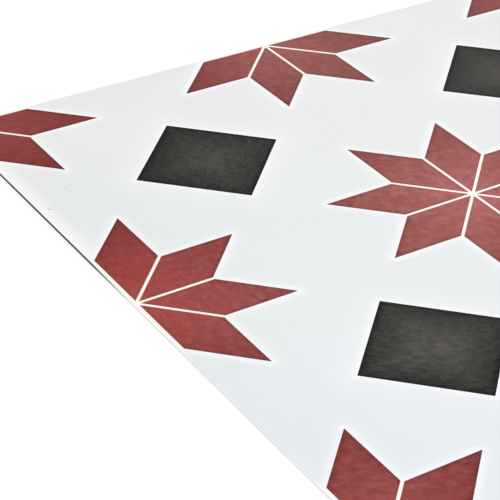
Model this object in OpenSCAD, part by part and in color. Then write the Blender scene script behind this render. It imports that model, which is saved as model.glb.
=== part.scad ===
// Vinyl floor tile: one square sheet of filled vinyl, cut from its sheet by a die.
// It lies flat, printed face up. The origin is the middle of the underside, and the
// edges run along X and Y.

/* [Tile] */
// Length of each side, over the cut edges
side = 304.8; // [100:0.1:914.4]
// Thickness of the sheet
thickness = 1.2; // [0.8:0.1:5]

/* [Cut edges] */
// Corner radius that the die leaves, seen from above
corner_r = 0.6; // [0.4:0.1:20]
// Radius that the die rolls over along the top edge
roll_r = 0.2; // [0.05:0.05:0.35]
// Width of the fine chamfer where the die breaks through underneath
break_w = 0.1; // [0.05:0.05:0.35]

/* [Hidden] */
$fn = 48;

// Length of the straight stretch between two corners
straight = side - 2 * corner_r;
// From the tile's centre to the middle of a corner radius
corner_at = straight / 2;

// Half of the section at a cut edge. X runs outwards from where the corner radius is
// struck, so the same section makes the straight edges and turns round the corners.
module edge_section() {
    difference() {
        union() {
            square([corner_r - roll_r, thickness]);
            square([corner_r, thickness - roll_r]);
            translate([corner_r - roll_r, thickness - roll_r])
                circle(r = roll_r);
        }
        translate([corner_r, 0])
            rotate(45)
                square(break_w * sqrt(2), center = true);
    }
}

// One straight cut edge, facing +X
module straight_edge() {
    translate([corner_at, 0, 0])
        rotate([90, 0, 0])
            linear_extrude(height = straight, center = true)
                edge_section();
}

// One corner, in the quarter between +X and +Y
module corner() {
    translate([corner_at, corner_at, 0])
        rotate_extrude(angle = 90)
            edge_section();
}

// The flat sheet inside the cut edges
module field() {
    translate([-corner_at, -corner_at, 0])
        cube([straight, straight, thickness]);
}

module vinyl_tile() {
    color("whitesmoke")
        union() {
            field();
            for (quarter = [0:3])
                rotate(90 * quarter) {
                    straight_edge();
                    corner();
                }
        }
}

vinyl_tile();
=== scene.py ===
import math

import bpy
from mathutils import Matrix, Vector


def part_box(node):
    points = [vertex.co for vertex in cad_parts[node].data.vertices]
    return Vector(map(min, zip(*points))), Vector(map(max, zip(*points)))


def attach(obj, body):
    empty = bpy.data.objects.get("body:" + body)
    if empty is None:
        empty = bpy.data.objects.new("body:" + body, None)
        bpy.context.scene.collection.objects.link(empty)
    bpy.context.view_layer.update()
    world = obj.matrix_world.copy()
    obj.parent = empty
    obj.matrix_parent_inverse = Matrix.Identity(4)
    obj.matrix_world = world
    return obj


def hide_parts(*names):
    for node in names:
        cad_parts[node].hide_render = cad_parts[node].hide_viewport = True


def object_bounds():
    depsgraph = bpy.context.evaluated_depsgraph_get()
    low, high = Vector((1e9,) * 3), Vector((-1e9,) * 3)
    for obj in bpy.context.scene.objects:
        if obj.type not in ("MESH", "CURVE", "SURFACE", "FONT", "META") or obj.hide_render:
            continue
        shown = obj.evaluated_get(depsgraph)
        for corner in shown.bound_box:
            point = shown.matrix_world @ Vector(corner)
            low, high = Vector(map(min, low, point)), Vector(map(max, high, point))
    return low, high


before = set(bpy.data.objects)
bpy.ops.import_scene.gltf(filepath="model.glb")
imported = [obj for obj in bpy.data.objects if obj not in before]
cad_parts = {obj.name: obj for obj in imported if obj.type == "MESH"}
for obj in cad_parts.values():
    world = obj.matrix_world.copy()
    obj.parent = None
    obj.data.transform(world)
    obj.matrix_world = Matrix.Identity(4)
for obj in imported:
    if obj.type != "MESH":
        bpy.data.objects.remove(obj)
cadLow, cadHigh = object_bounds()
mm = 0.001
samePlace = 0.005 * mm      # places closer than this count as one
print("stage 1: frame loaded")


# small helpers for selecting and for wiring nodes

def deselectAll():
    bpy.ops.object.select_all(action="DESELECT")


def clearPicked(obj):
    # what is picked is set in object mode, from places and normals, and edited afterwards
    bpy.ops.object.mode_set(mode="OBJECT")
    for part in (*obj.data.vertices, *obj.data.edges, *obj.data.polygons):
        part.select = False


def pickFaces(obj, wanted):
    clearPicked(obj)
    for face in obj.data.polygons:
        face.select = wanted(face.center, face.normal)
    bpy.ops.object.mode_set(mode="EDIT")
    bpy.ops.mesh.select_mode(type="FACE")


def pickEdges(obj, wanted):
    clearPicked(obj)
    for edge in obj.data.edges:
        start, end = (obj.data.vertices[i].co for i in edge.vertices)
        edge.select = wanted(start, end)
    bpy.ops.object.mode_set(mode="EDIT")
    bpy.ops.mesh.select_mode(type="EDGE")


def near(a, b):
    return abs(a - b) < samePlace


def link(tree, source, target):
    # a socket is linked, and a plain number or colour is written in
    if isinstance(source, bpy.types.NodeSocket):
        tree.links.new(source, target)
    else:
        target.default_value = source


def maths(tree, operation, a, b=0.0, clamp=False):
    node = tree.nodes.new("ShaderNodeMath")
    node.operation = operation
    node.use_clamp = clamp
    link(tree, a, node.inputs[0])
    link(tree, b, node.inputs[1])
    return node.outputs[0]


def least(tree, first, *others):
    for other in others:
        first = maths(tree, "MINIMUM", first, other)
    return first


def product(tree, first, *others):
    for other in others:
        first = maths(tree, "MULTIPLY", first, other)
    return first


def ramp(tree, value, low, high, toLow=0.0, toHigh=1.0, smooth=True):
    node = tree.nodes.new("ShaderNodeMapRange")
    node.interpolation_type = "SMOOTHSTEP" if smooth else "LINEAR"
    link(tree, value, node.inputs["Value"])
    node.inputs["From Min"].default_value = low
    node.inputs["From Max"].default_value = high
    node.inputs["To Min"].default_value = toLow
    node.inputs["To Max"].default_value = toHigh
    return node.outputs["Result"]


def mixColour(tree, factor, first, second, blend="MIX"):
    node = tree.nodes.new("ShaderNodeMix")
    node.data_type = "RGBA"
    node.blend_type = blend
    link(tree, factor, node.inputs[0])
    link(tree, first, node.inputs[6])
    link(tree, second, node.inputs[7])
    return node.outputs[2]


def noise(tree, place, size, detail=2.0):
    # size is how far apart the lumps are
    node = tree.nodes.new("ShaderNodeTexNoise")
    tree.links.new(place, node.inputs["Vector"])
    node.inputs["Scale"].default_value = 1 / size
    node.inputs["Detail"].default_value = detail
    return node.outputs["Fac"]


noiseSpan = (0.3, 0.7)      # most of a noise lies between these


def spread(tree, lumps, low, high):
    # a noise made a factor between two limits
    return ramp(tree, lumps, *noiseSpan, low, high, False)


def measure(tree, operation, vector):
    node = tree.nodes.new("ShaderNodeVectorMath")
    node.operation = operation
    tree.links.new(vector, node.inputs[0])
    return node


def placeOn(tree):
    return tree.nodes.new("ShaderNodeTexCoord").outputs["Object"]


def splitUp(tree, place):
    split = tree.nodes.new("ShaderNodeSeparateXYZ")
    tree.links.new(place, split.inputs[0])
    return split.outputs["X"], split.outputs["Y"]


def addBump(tree, shader, height, depth):
    bump = tree.nodes.new("ShaderNodeBump")
    bump.inputs["Distance"].default_value = depth
    tree.links.new(height, bump.inputs["Height"])
    tree.links.new(bump.outputs[0], shader.inputs["Normal"])


# the print: eight-pointed stars of eight rhombi, with squares on point between them
printSet = {
    "pitch": 151.4 * mm,        # from star to star
    "gap": 1.22 * mm,           # pale line between two rhombi
    "starReach": 22.50 * mm,    # from a star's centre lines to the far sides of its rhombi
    "squareReach": 23.30 * mm,  # from a square's middle to its sides
    "halfTip": 22.5,            # degrees, half the angle of a star's point
    "stretch": (-30 * mm, -3 * mm),     # x over which the near edge goes from dark to pale
}


def motifLines():
    # one quarter of the tile: a quarter star in its inner corner, parts of three more, one square
    pitch, half = printSet["pitch"], printSet["gap"] / 2
    star, square = printSet["starReach"], printSet["squareReach"]
    lines = []
    for at in (half, star, pitch - star, pitch - half):
        lines.append(((at, 0, 0), (1, 0, 0)))
        lines.append(((0, at, 0), (0, 1, 0)))
    for reach in (half, star, square):
        for side in (-1, 1):
            off = side * reach * math.sqrt(2)
            lines.append(((off, 0, 0), (1, -1, 0)))
            lines.append(((pitch + off, 0, 0), (1, 1, 0)))
    return lines


def motifAt(x, y):
    # which ink lies at a place: folded to one eighth of the nearest star, as the print repeats
    pitch = printSet["pitch"]
    ax = abs(x - pitch * round(x / pitch))
    ay = abs(y - pitch * round(y / pitch))
    low, slant = min(ax, ay), abs(ax - ay) / math.sqrt(2)
    half, star = printSet["gap"] / 2, printSet["starReach"]
    onTile = max(abs(x), abs(y)) < pitch
    if low < star and slant < star:
        return "red" if low > half and slant > half and onTile else "line"
    if (pitch - ax - ay) / math.sqrt(2) < printSet["squareReach"]:
        return "charcoal"
    return "ground"


def patternField(tree):
    # the same fold as motifAt, in nodes. "star" and "square" are how far inside such a motif a point
    # is, less than 0 outside; "rim" is the way to a star's outer outline, "along" the way out from
    # its middle; "pastTip" and "pastCorner" grow beyond the points of a star and of a square
    place = placeOn(tree)
    x, y = splitUp(tree, place)
    pitch, half = printSet["pitch"], printSet["gap"] / 2
    star, square = printSet["starReach"], printSet["squareReach"]
    folded = []
    for way in (x, y):
        turns = maths(tree, "DIVIDE", way, pitch)
        nearest = maths(tree, "ROUND", turns)
        away = maths(tree, "ABSOLUTE", maths(tree, "SUBTRACT", turns, nearest))
        folded.append(maths(tree, "MULTIPLY", away, pitch))
    low = maths(tree, "MINIMUM", *folded)
    high = maths(tree, "MAXIMUM", *folded)
    slant = maths(tree, "DIVIDE", maths(tree, "SUBTRACT", high, low), math.sqrt(2))
    rim = maths(tree, "SUBTRACT", star, maths(tree, "MAXIMUM", low, slant))
    inner = maths(tree, "SUBTRACT", maths(tree, "MINIMUM", low, slant), half)
    toMiddle = maths(tree, "SUBTRACT", pitch, maths(tree, "ADD", *folded))
    across = maths(tree, "DIVIDE", toMiddle, math.sqrt(2))
    tip = math.radians(printSet["halfTip"])
    outwards = maths(tree, "ADD", maths(tree, "MULTIPLY", high, math.cos(tip)),
                     maths(tree, "MULTIPLY", low, math.sin(tip)))
    return {
        "place": place,
        "x": x,
        "y": y,
        "along": high,
        "rim": rim,
        "star": maths(tree, "MINIMUM", inner, rim),
        "square": maths(tree, "SUBTRACT", square, across),
        "pastTip": maths(tree, "SUBTRACT", outwards, star / math.sin(tip)),
        "pastCorner": maths(tree, "SUBTRACT", slant, square),
    }


def farOut(tree, inside, past):
    # how far outside a motif, rounded off beyond its points
    pair = tree.nodes.new("ShaderNodeCombineXYZ")
    tree.links.new(maths(tree, "MINIMUM", inside, 0.0), pair.inputs[0])
    tree.links.new(maths(tree, "MAXIMUM", past, 0.0), pair.inputs[1])
    return measure(tree, "LENGTH", pair.outputs[0]).outputs["Value"]


def newFinish(name, specular):
    material = bpy.data.materials.new(name)
    material.use_nodes = True
    tree = material.node_tree
    shader = tree.nodes["Principled BSDF"]
    shader.inputs["Specular IOR Level"].default_value = specular
    return material, tree, shader


# the wear surface over all the print: soft hammered ripples, a little longer one way
wearSet = {
    "grain": 2.6 * mm,          # from ripple to ripple
    "depth": 0.34 * mm,
    "turn": 50,                 # degrees, the way that the ripples are longer
    "longer": 1.2,
    "roughness": 0.28,
    "hollows": 1.12,            # times the roughness
    "crests": 0.9,
}


def addRipples(tree, shader, place, depth):
    # depth is the share of the ripples' depth that shows through this ink
    stretch = tree.nodes.new("ShaderNodeMapping")
    stretch.vector_type = "TEXTURE"
    stretch.inputs["Rotation"].default_value = (0, 0, math.radians(wearSet["turn"]))
    stretch.inputs["Scale"].default_value = (wearSet["longer"], 1.0, 1.0)
    tree.links.new(place, stretch.inputs["Vector"])
    ripples = noise(tree, stretch.outputs[0], wearSet["grain"])
    addBump(tree, shader, ripples, wearSet["depth"] * depth)
    rough = wearSet["roughness"]
    dull = spread(tree, ripples, rough * wearSet["hollows"], rough * wearSet["crests"])
    tree.links.new(dull, shader.inputs["Roughness"])
    return ripples


# the nearly white ground, thinner round the motifs and beside the dark stretch of the near edge
groundSet = {
    "colour": (0.790, 0.810, 0.800, 1),
    "thin": (0.825, 0.846, 0.833, 1),
    "keyline": (0.910, 0.922, 0.910, 1),    # right beside a motif or the dark edge
    "keyWidth": 3.8 * mm,                   # how far out from a motif that tone ends
    "edgeKeyWidth": 7.6 * mm,               # and how far in from the dark edge
    "starHaze": (9.0 * mm, 0.7),            # how far out from a star it is thinner, and how much
    "squareHaze": (16.0 * mm, 1.15),
    "edgeHaze": (13.0 * mm, 0.9),
    "specular": 0.04,
    "ripples": 0.3,
    "cloud": (45 * mm, 0.985),              # size of the soft patches, and their tone
    # painted shade: the ground is a little darker over the 50 mm nearest the near edge
    "nearShade": (-150 * mm, -100 * mm, 0.975, 1.0),     # y from and to, tone there and there
    "specks": (                             # x, y, width
        (-73.1 * mm, -148.2 * mm, 0.75 * mm),
        (-84.3 * mm, -135.9 * mm, 0.4 * mm),
    ),
    "speckFade": (0.3, 0.6),                # shares of a speck's width between which it ends
    "speckTone": 0.12,
}


def cloudy(tree, place, size, tone):
    # soft patches, from this tone up to 1
    return spread(tree, noise(tree, place, size), tone, 1.0)


def speck(tree, place, x, y, width):
    # a speck of dirt on the top face: dark in its middle, 1 all round it
    away = measure(tree, "DISTANCE", place)
    away.inputs[1].default_value = (x, y, cadHigh.z)
    start, end = (share * width for share in groundSet["speckFade"])
    return ramp(tree, away.outputs["Value"], start, end, groundSet["speckTone"], 1.0)


def hazeBy(tree, distance, reach, strength):
    return ramp(tree, distance, 0.0, reach, strength, 0.0)


def makeGround():
    material, tree, shader = newFinish("pale_print", groundSet["specular"])
    field = patternField(tree)
    place = field["place"]
    fromStar = farOut(tree, field["rim"], field["pastTip"])
    fromSquare = farOut(tree, field["square"], field["pastCorner"])
    # how far it is to the dark stretch of the near edge, more and more along the pale stretch
    edgeReach = groundSet["edgeHaze"][0]
    awayFromDark = ramp(tree, field["x"], *printSet["stretch"], 0.0, edgeReach, False)
    fromEdge = maths(tree, "ADD", maths(tree, "ADD", field["y"], cadHigh.y), awayFromDark)
    byStar = hazeBy(tree, fromStar, *groundSet["starHaze"])
    bySquare = hazeBy(tree, fromSquare, *groundSet["squareHaze"])
    byEdge = hazeBy(tree, fromEdge, *groundSet["edgeHaze"])
    haze = maths(tree, "ADD", maths(tree, "ADD", byStar, bySquare), byEdge, clamp=True)
    tint = mixColour(tree, haze, groundSet["colour"], groundSet["thin"])
    byMotif = ramp(tree, least(tree, fromStar, fromSquare), 0.0, groundSet["keyWidth"])
    byDark = ramp(tree, fromEdge, 0.0, groundSet["edgeKeyWidth"])
    colour = mixColour(tree, least(tree, byMotif, byDark), groundSet["keyline"], tint)
    cloud = cloudy(tree, place, *groundSet["cloud"])
    # painted shade towards the near edge, times the soft patches and the specks of dirt
    nearShade = ramp(tree, field["y"], *groundSet["nearShade"])
    patchesSpecksAndShade = product(tree, cloud, nearShade, *(speck(tree, place, *each) for each in groundSet["specks"]))
    tree.links.new(mixColour(tree, 1.0, colour, patchesSpecksAndShade, "MULTIPLY"), shader.inputs["Base Color"])
    addRipples(tree, shader, place, groundSet["ripples"])
    return material


# the red of the stars
redSet = {
    "middle": (0.322, 0.030, 0.026, 1),     # at a star's middle
    "tip": (0.200, 0.004, 0.003, 1),        # at its points
    "reach": (4 * mm, 54 * mm),             # way out over which the one goes over into the other
    "rim": (2.6 * mm, 0.76),                # how far in from a star's outline it is darker, and that tone
    "fineRim": (1.4 * mm, 0.88),            # the same along the pale lines
    "mottle": (0.91, 1.09),                 # tone from ripple to ripple
    # painted shade: the red is made darker towards both sides along x, away from where the back light's
    # sheen falls
    "leftShade": (-150 * mm, 10 * mm, 0.82, 1.0),        # x from and to, tone there and there
    "rightShade": (40 * mm, 160 * mm, 1.0, 0.90),
    "specular": 0.145,
    "glint": (0.8, 1.2),                    # times the specular level, from ripple to ripple
    "glintFall": (1.13, 0.74),              # and from a star's middle to its points
    "ripples": 0.3,
}


def rimOf(tree, distance, width, tone):
    return ramp(tree, distance, 0.0, width, tone, 1.0)


def makeRed():
    material, tree, shader = newFinish("red_print", redSet["specular"])
    field = patternField(tree)
    ripples = addRipples(tree, shader, field["place"], redSet["ripples"])
    rim = rimOf(tree, field["rim"], *redSet["rim"])
    fineRim = rimOf(tree, field["star"], *redSet["fineRim"])
    # painted shade: the next two ramps darken the red towards both sides along x
    leftShade = ramp(tree, field["x"], *redSet["leftShade"])
    rightShade = ramp(tree, field["x"], *redSet["rightShade"])
    mottle = spread(tree, ripples, *redSet["mottle"])
    toneFactor = product(tree, mottle, rim, fineRim, leftShade, rightShade)
    reach = ramp(tree, field["along"], *redSet["reach"], smooth=False)
    ink = mixColour(tree, reach, redSet["middle"], redSet["tip"])
    tree.links.new(mixColour(tree, 1.0, ink, toneFactor, "MULTIPLY"), shader.inputs["Base Color"])
    glint = spread(tree, ripples, *(redSet["specular"] * share for share in redSet["glint"]))
    fall = ramp(tree, reach, 0.0, 1.0, *redSet["glintFall"], False)
    tree.links.new(product(tree, glint, rim, fineRim, fall), shader.inputs["Specular IOR Level"])
    return material


# the charcoal of the squares
charcoalSet = {
    "colour": (0.058, 0.053, 0.044, 1),
    "mottle": (0.75, 1.25),                 # tone from ripple to ripple
    "swell": (0.0, 20 * mm, 0.1, 1.0),      # way in from a square's sides, tone there and there
    "drift": (-90 * mm, 90 * mm, 0.78, 1.1),            # x from and to, tone there and there
    "specular": 0.04,
    "sheenRim": (3.0 * mm, 0.4),            # how far in from the sides the sheen is less, and its share
    "ripples": 1.1,
}


def makeCharcoal():
    material, tree, shader = newFinish("charcoal_print", charcoalSet["specular"])
    field = patternField(tree)
    ripples = addRipples(tree, shader, field["place"], charcoalSet["ripples"])
    mottle = spread(tree, ripples, *charcoalSet["mottle"])
    swell = ramp(tree, field["square"], *charcoalSet["swell"], False)
    drift = ramp(tree, field["x"], *charcoalSet["drift"])
    toneFactor = product(tree, mottle, swell, drift)
    ink = mixColour(tree, 1.0, charcoalSet["colour"], toneFactor, "MULTIPLY")
    tree.links.new(ink, shader.inputs["Base Color"])
    level = charcoalSet["specular"]
    width, share = charcoalSet["sheenRim"]
    sheen = ramp(tree, field["square"], 0.0, width, level * share, level)
    tree.links.new(sheen, shader.inputs["Specular IOR Level"])
    return material


# the pale vinyl that shows between the rhombi
bareSet = {
    "colour": (0.950, 0.915, 0.845, 1),
    "cloud": (30 * mm, 0.985),
    "specular": 0.145,
    "ripples": 0.6,
}


def makeBare():
    material, tree, shader = newFinish("bare_vinyl", bareSet["specular"])
    place = placeOn(tree)
    cloud = cloudy(tree, place, *bareSet["cloud"])
    colour = mixColour(tree, 1.0, bareSet["colour"], cloud, "MULTIPLY")
    tree.links.new(colour, shader.inputs["Base Color"])
    addRipples(tree, shader, place, bareSet["ripples"])
    return material


# the cut edge: dark and gritty, and pale along part of the near side
edgeSet = {
    "dark": (0.042, 0.035, 0.023, 1),
    "light": (0.068, 0.057, 0.039, 1),
    "pale": (0.82, 0.82, 0.785, 1),
    "nearSide": (-150 * mm, -151 * mm),     # y over which the near side begins
    "grit": 0.5 * mm,
    "gritDetail": 3.0,
    "gritDepth": 0.02 * mm,
    "roughness": 0.7,
    "specular": 0.145,
}


def makeCutEdge():
    material, tree, shader = newFinish("cut_edge", edgeSet["specular"])
    place = placeOn(tree)
    x, y = splitUp(tree, place)
    # the near side is dark from the left corner on, and turns pale beside its middle star
    turned = ramp(tree, x, *printSet["stretch"], smooth=False)
    nearSide = ramp(tree, y, *edgeSet["nearSide"])
    pale = maths(tree, "MULTIPLY", turned, nearSide)
    grit = noise(tree, place, edgeSet["grit"], edgeSet["gritDetail"])
    core = mixColour(tree, grit, edgeSet["dark"], edgeSet["light"])
    tree.links.new(mixColour(tree, pale, core, edgeSet["pale"]), shader.inputs["Base Color"])
    shader.inputs["Roughness"].default_value = edgeSet["roughness"]
    addBump(tree, shader, grit, edgeSet["gritDepth"])
    return material


# the underside: dark, cloudy, with a fine tooth for the glue
backingSet = {
    "dark": (0.045, 0.038, 0.027, 1),
    "light": (0.075, 0.065, 0.048, 1),
    "cloud": 14 * mm,
    "cloudDetail": 4.0,
    "tooth": 1.2 * mm,
    "toothDepth": 0.04 * mm,
    "roughness": 0.62,
    "specular": 0.145,
}


def makeBacking():
    material, tree, shader = newFinish("backing", backingSet["specular"])
    place = placeOn(tree)
    cloud = noise(tree, place, backingSet["cloud"], backingSet["cloudDetail"])
    colour = mixColour(tree, cloud, backingSet["dark"], backingSet["light"])
    tree.links.new(colour, shader.inputs["Base Color"])
    shader.inputs["Roughness"].default_value = backingSet["roughness"]
    tooth = tree.nodes.new("ShaderNodeTexVoronoi")
    tooth.inputs["Scale"].default_value = 1 / backingSet["tooth"]
    tree.links.new(place, tooth.inputs["Vector"])
    addBump(tree, shader, tooth.outputs["Distance"], backingSet["toothDepth"])
    return material


# the tile itself
tileSet = {
    "cornerRadius": 0.6 * mm,
    "cornerSteps": 8,
    "rollRadius": 0.2 * mm,     # the die rolls the top edge over
    "rollSteps": 5,
    "breakWidth": 0.1 * mm,     # and leaves a fine chamfer underneath
    "breakSteps": 1,
    "level": 0.99,              # a face whose normal is this upright lies flat
    "printedRoll": 0.8,         # and down to this one the print goes over the rolled edge
    "mergeWithin": 0.002 * mm,
    "joinBelow": 0.5,           # degrees, faces of one ink that meet flatter than this are one
    "smoothBelow": 32,
}


def makeTile(name, half, thick):
    # one quarter is cut and printed, then mirrored both ways
    centre = (half / 2, half / 2, thick / 2)
    bpy.ops.mesh.primitive_cube_add(size=1, location=centre, scale=(half, half, thick))
    tile = bpy.context.object
    tile.name = name
    bpy.ops.object.transform_apply(location=True, rotation=True, scale=True)
    pickFaces(tile, lambda middle, normal: near(middle.x, 0) or near(middle.y, 0))
    bpy.ops.mesh.delete(type="FACE")
    pickEdges(tile, lambda a, b: all(near(v, half) for v in (a.x, a.y, b.x, b.y)))
    bpy.ops.mesh.bevel(offset=tileSet["cornerRadius"], segments=tileSet["cornerSteps"], affect="EDGES")

    def rim(height):
        # the edges at this height that run along the cut sides
        inside = half - tileSet["cornerRadius"] - 2 * samePlace

        def onRim(point):
            return near(point.z, height) and max(point.x, point.y) > inside

        return lambda a, b: onRim(a) and onRim(b)

    pickEdges(tile, rim(thick))
    bpy.ops.mesh.bevel(offset=tileSet["rollRadius"], segments=tileSet["rollSteps"], affect="EDGES")
    pickEdges(tile, rim(0.0))
    bpy.ops.mesh.bevel(offset=tileSet["breakWidth"], segments=tileSet["breakSteps"], affect="EDGES")

    for place, across in motifLines():
        pickFaces(tile, lambda middle, normal: near(middle.z, thick) and normal.z > tileSet["level"])
        bpy.ops.mesh.bisect(plane_co=place, plane_no=across)
    bpy.ops.object.mode_set(mode="OBJECT")

    finishes = {
        "ground": makeGround(),
        "line": makeBare(),
        "red": makeRed(),
        "charcoal": makeCharcoal(),
        "edge": makeCutEdge(),
        "under": makeBacking(),
    }
    order = list(finishes)
    for finish in finishes.values():
        tile.data.materials.append(finish)
    for face in tile.data.polygons:
        if face.normal.z > tileSet["level"]:
            kind = motifAt(face.center.x, face.center.y)
        elif face.normal.z < -tileSet["level"]:
            kind = "under"
        elif face.normal.z > tileSet["printedRoll"]:
            kind = "ground"
        else:
            kind = "edge"
        face.material_index = order.index(kind)

    bpy.ops.object.mode_set(mode="EDIT")
    bpy.ops.mesh.select_all(action="SELECT")
    bpy.ops.mesh.dissolve_limited(angle_limit=math.radians(tileSet["joinBelow"]), delimit={"MATERIAL"})
    bpy.ops.object.mode_set(mode="OBJECT")
    mirror = tile.modifiers.new("mirror", "MIRROR")
    mirror.use_axis = (True, True, False)
    mirror.merge_threshold = tileSet["mergeWithin"]
    bpy.ops.object.modifier_apply(modifier=mirror.name)
    bpy.ops.object.shade_smooth_by_angle(angle=math.radians(tileSet["smoothBelow"]))
    return tile


# where the faces lie on the flat map named OFBake, in shares of its size
mapSet = {
    "print": (0.005, 0.005, 0.88, 0.88),    # left, bottom, width, height
    "under": (0.005, 0.895, 0.10, 0.10),
    "edges": (0.895, 0.005, 0.025, 0.88),   # the first of four strips, one for each side
    "strip": 0.72,                          # share of a strip's width that is used
}


def layFlat(obj, half, thick):
    flat = obj.data.uv_layers.new(name="OFBake")
    radius, roll = tileSet["cornerRadius"], tileSet["rollRadius"]
    straight = half - radius
    section = roll + thick + tileSet["breakWidth"]
    for face in obj.data.polygons:
        normal = face.normal
        sideways = abs(normal.x) > abs(normal.y)
        outwards = normal.x if sideways else normal.y
        onEdge = abs(normal.z) < tileSet["level"]
        part = "edges" if onEdge else "print" if normal.z > 0 else "under"
        left, bottom, width, height = mapSet[part]
        if onEdge:
            left += width * (2 * sideways + (outwards > 0) + 0.5 - mapSet["strip"] / 2)
            width *= mapSet["strip"]
        for corner in face.loop_indices:
            place = obj.data.vertices[obj.data.loops[corner].vertex_index].co
            right, up = (place.x / half + 1) / 2, (place.y / half + 1) / 2
            if onEdge:
                # a strip runs along the side, and its width goes down the section of the cut edge
                up = up if sideways else right
                past = (max(abs(place.x) - straight, 0), max(abs(place.y) - straight, 0))
                inwards = radius - math.hypot(*past)
                down = thick - place.z + (inwards if place.z < thick / 2 else -inwards)
                right = (down + roll) / section
            flat.uv[corner].vector = (left + width * right, bottom + height * up)


deselectAll()
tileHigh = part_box("vinyl_tile")[1]
tile = makeTile("printed_tile", tileHigh.x, tileHigh.z)
layFlat(tile, tileHigh.x, tileHigh.z)
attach(tile, "root")
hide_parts("vinyl_tile")
print("stage 2: tile cut and printed,", len(tile.data.polygons), "faces")


# a white floor, clear from below, so that the underside can be seen through it
floorSet = {
    "size": 12,
    "drop": 0.02 * mm,          # under the tile
    "fade": (0.3, 1.2),         # way out over which the shadow runs into the white background
    "glow": 0.55,               # share of plain white beside the tile
}


def seenDirectly(tree):
    # 1 where the camera, a reflection or glass looks straight at it
    path = tree.nodes.new("ShaderNodeLightPath")
    either = maths(tree, "MAXIMUM", path.outputs["Is Camera Ray"], path.outputs["Is Glossy Ray"])
    return maths(tree, "MAXIMUM", either, path.outputs["Is Transmission Ray"])


def mixShaders(tree, factor, first, second):
    node = tree.nodes.new("ShaderNodeMixShader")
    tree.links.new(factor, node.inputs[0])
    tree.links.new(first, node.inputs[1])
    tree.links.new(second, node.inputs[2])
    return node.outputs[0]


def makeFloor():
    deselectAll()
    bpy.ops.mesh.primitive_plane_add(size=floorSet["size"], location=(0, 0, -floorSet["drop"]))
    floor = bpy.context.object
    floor.name = "floor"
    material = bpy.data.materials.new("white_floor")
    material.use_nodes = True
    tree = material.node_tree
    tree.nodes.clear()
    output = tree.nodes.new("ShaderNodeOutputMaterial")
    paint = tree.nodes.new("ShaderNodeBsdfDiffuse")
    paint.inputs["Color"].default_value = (1, 1, 1, 1)
    glow = tree.nodes.new("ShaderNodeEmission")
    clear = tree.nodes.new("ShaderNodeBsdfTransparent")
    far = measure(tree, "LENGTH", placeOn(tree)).outputs["Value"]
    share = ramp(tree, far, *floorSet["fade"], floorSet["glow"], 1.0)
    lit = mixShaders(tree, product(tree, seenDirectly(tree), share), paint.outputs[0], glow.outputs[0])
    below = tree.nodes.new("ShaderNodeNewGeometry").outputs["Backfacing"]
    tree.links.new(mixShaders(tree, below, lit, clear.outputs[0]), output.inputs["Surface"])
    floor.data.materials.append(material)
    floor.visible_shadow = False
    floor.visible_diffuse = False


lightSet = {
    "sky": 0.54,                            # soft light from all round
    "backPlace": (-0.956, 0.747, 0.883),    # softbox behind, mirrored in the middle star
    "backSize": 0.45,
    "backPower": 2.35,
    "backTint": (1.0, 0.99, 0.92),
    "frontPlace": (5.4, -6.0, 6.6),
    "frontSize": 6.0,
    "frontPower": 790.0,
    "frontTint": (1.0, 1.0, 1.0),
    "fillPlace": (0.30, -0.14, 0.22),       # a faint cool light over the near corner
    "fillSize": 0.2,
    "fillPower": 0.08,
    "fillTint": (0.05, 0.10, 1.0),
}


def makeLight(which):
    place = lightSet[which + "Place"]
    deselectAll()
    bpy.ops.object.light_add(type="AREA", location=place)
    lamp = bpy.context.object
    lamp.name = which + "_light"
    lamp.rotation_euler = (-Vector(place)).to_track_quat("-Z", "Y").to_euler()
    lamp.data.size = lightSet[which + "Size"]
    lamp.data.energy = lightSet[which + "Power"]
    lamp.data.color = lightSet[which + "Tint"]
    lamp.visible_camera = False
    lamp.visible_glossy = which != "fill"


def makeSky():
    world = bpy.data.worlds.new("studio")
    bpy.context.scene.world = world
    world.use_nodes = True
    tree = world.node_tree
    background = tree.nodes["Background"]
    background.inputs["Color"].default_value = (1, 1, 1, 1)
    strength = ramp(tree, seenDirectly(tree), 0.0, 1.0, lightSet["sky"], 1.0, False)
    tree.links.new(strength, background.inputs["Strength"])


makeFloor()
makeSky()
for which in ("back", "front", "fill"):
    makeLight(which)
print("stage 3: floor and lights")


# close view over the near corner, with a long lens
cameraSet = {
    "eye": (0.4830, -0.4179, 0.3729),
    "aim": (-0.0095, -0.0975, 0.0012),
    "roll": 1.38,       # degrees
    "focal": 1870,      # in pixels of the picture
    "frameWidth": 500,
    "sensor": 36,       # in millimetres
    "nearest": 0.01,    # nothing closer to the camera is drawn
}


def makeCamera():
    deselectAll()
    bpy.ops.object.camera_add(location=cameraSet["eye"])
    camera = bpy.context.object
    sight = Vector(cameraSet["aim"]) - Vector(cameraSet["eye"])
    level = sight.to_track_quat("-Z", "Y").to_matrix()
    roll = Matrix.Rotation(math.radians(cameraSet["roll"]), 3, "Z")
    camera.rotation_euler = (level @ roll).to_euler()
    camera.data.sensor_width = cameraSet["sensor"]
    camera.data.lens = cameraSet["sensor"] * cameraSet["focal"] / cameraSet["frameWidth"]
    camera.data.clip_start = cameraSet["nearest"]
    bpy.context.scene.camera = camera


makeCamera()
bpy.context.scene.view_settings.view_transform = "Standard"
print("stage 4: camera")
